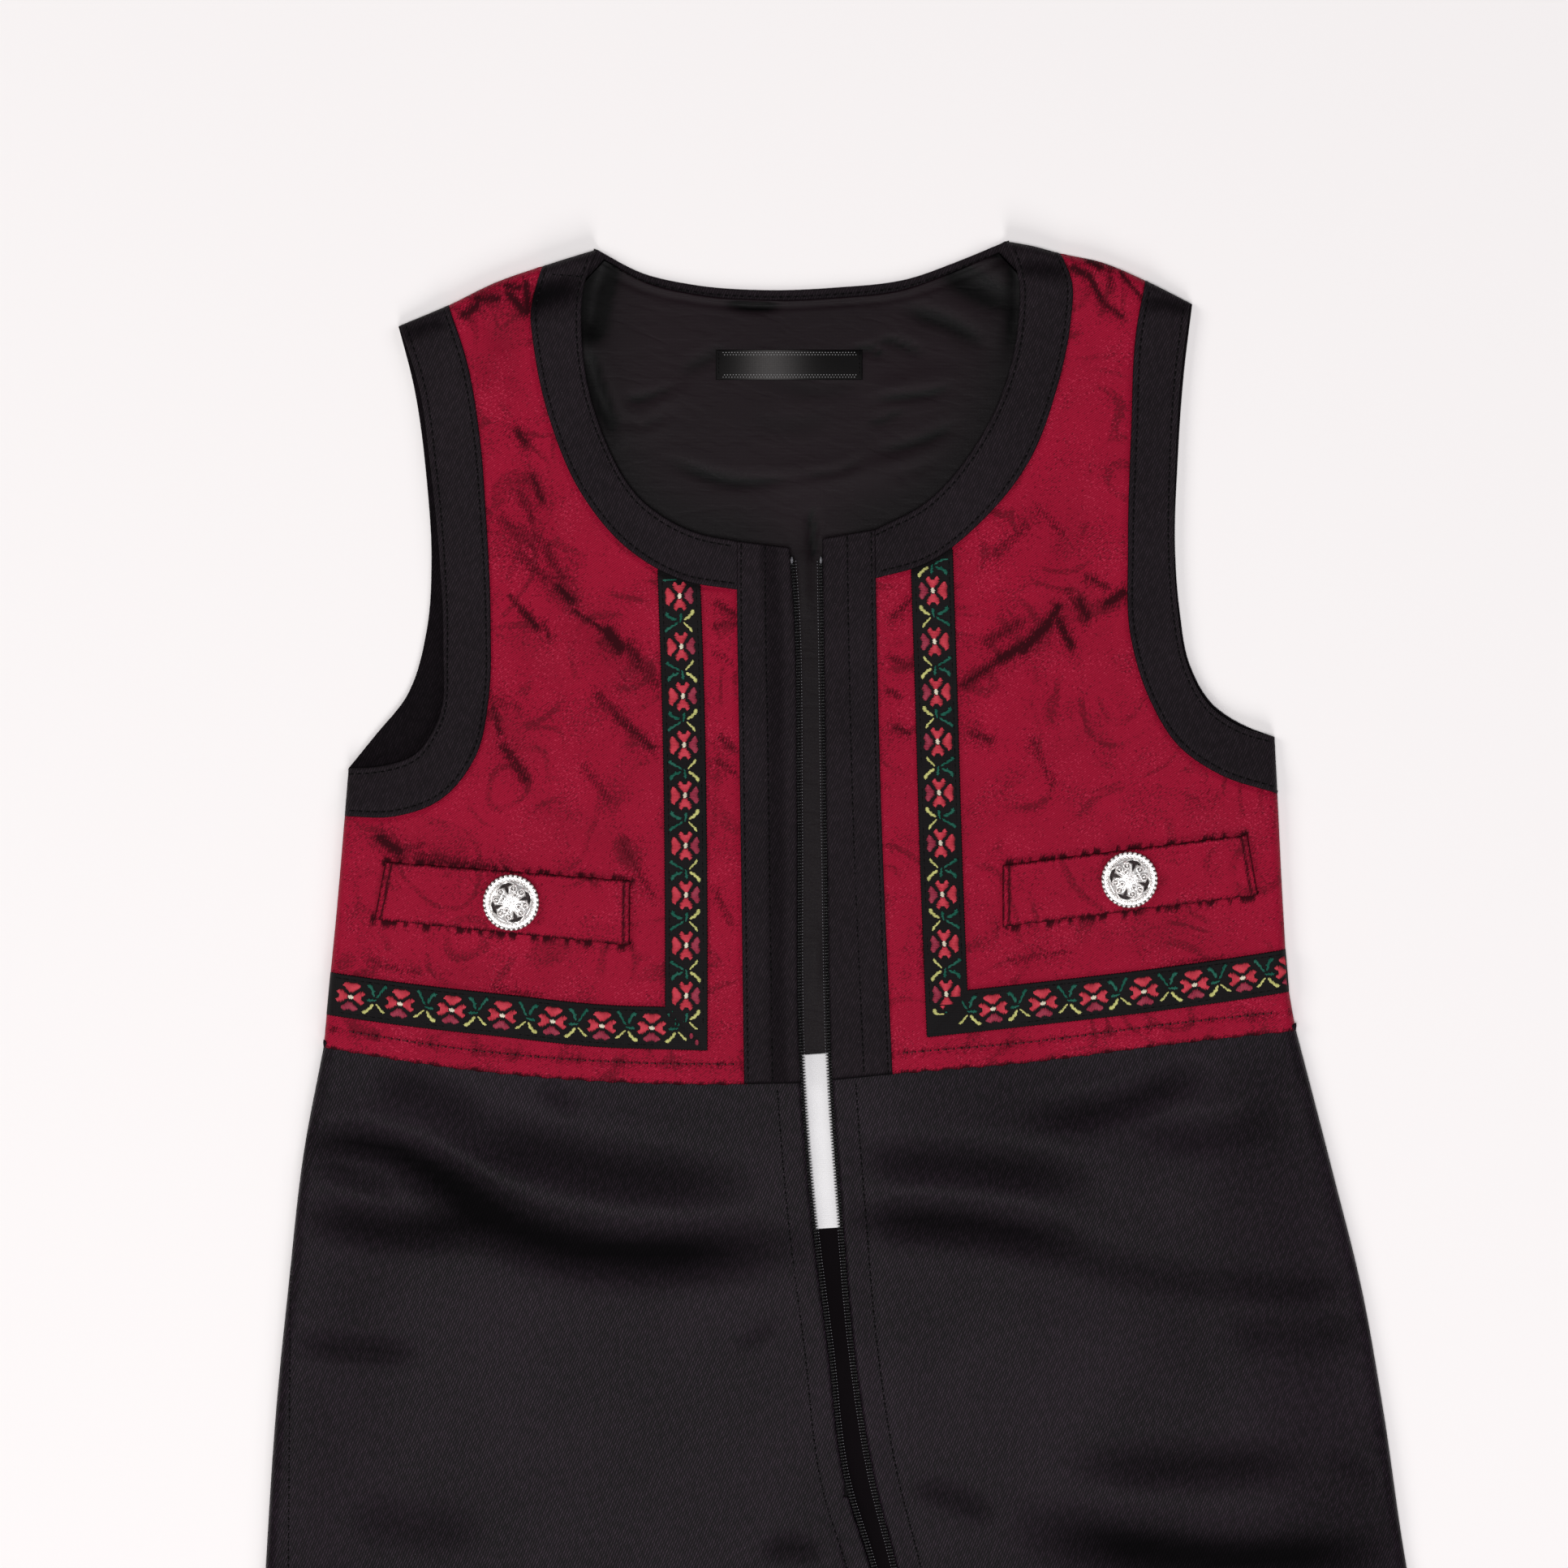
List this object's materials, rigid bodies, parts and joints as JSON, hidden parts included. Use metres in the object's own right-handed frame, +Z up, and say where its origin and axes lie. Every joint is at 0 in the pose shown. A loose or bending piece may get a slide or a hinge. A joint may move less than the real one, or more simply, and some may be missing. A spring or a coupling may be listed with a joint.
{
  "type": "toddler's bunad suit, laid flat",
  "caption": "Sleeveless one-piece folk suit for a toddler, laid flat: red jacquard bodice with flower ribbon, black bands and trousers, open zip down one leg.",
  "frame": {"origin": "on the surface the suit lies on, under the centre of its bounding box", "axes": "+Z up out of the front of the suit, +Y towards its neck, +X towards the viewer's right"},
  "size_m": [0.3719, 0.6797, 0.011],
  "materials": {
    "jacquard": "matt jacquard with a raised damask figure",
    "twill": "matt cotton twill",
    "satin_twill": "soft satin sheen",
    "lining": "thin smooth lining",
    "ribbon": "woven ribbon with embroidered flowers",
    "silver": "polished filigree",
    "black_metal": "gloss black",
    "label_black": "woven satin",
    "label_white": "printed satin, left bare"
  },
  "bodies": {
    "garment": {"arm_band_left": "twill", "arm_band_right": "twill", "back_arm_band_left": "twill", "back_arm_band_right": "twill", "back_bodice": "jacquard", "back_lining": "lining", "back_neck_band": "twill", "back_trouser_left": "satin_twill", "back_trouser_right": "satin_twill", "button_left": "silver", "button_right": "silver", "care_label": "label_white", "front_bodice_left": "jacquard", "front_bodice_right": "jacquard", "front_trouser_left": "satin_twill", "front_trouser_right": "satin_twill", "inner_leg_strip": "satin_twill", "neck_band_left": "twill", "neck_band_right": "twill", "neck_label": "label_black", "placket_left": "twill", "placket_right": "twill", "ribbon_left": "ribbon", "ribbon_right": "ribbon", "trouser_lining": "lining", "welt_left": "jacquard", "welt_right": "jacquard", "zip_slider": "black_metal", "zip_tape_left": "twill", "zip_tape_right": "twill"},
    "pull": {"zip_pull": "black_metal"}
  },
  "joints": [
    {"name": "pull_hinge", "type": "hinge", "parent": "garment", "child": "pull", "pos_m": [0.0397, -0.226, 0.00785], "axis": [-0.9863, -0.165, 0], "range_deg": [0, 170]}
  ]
}
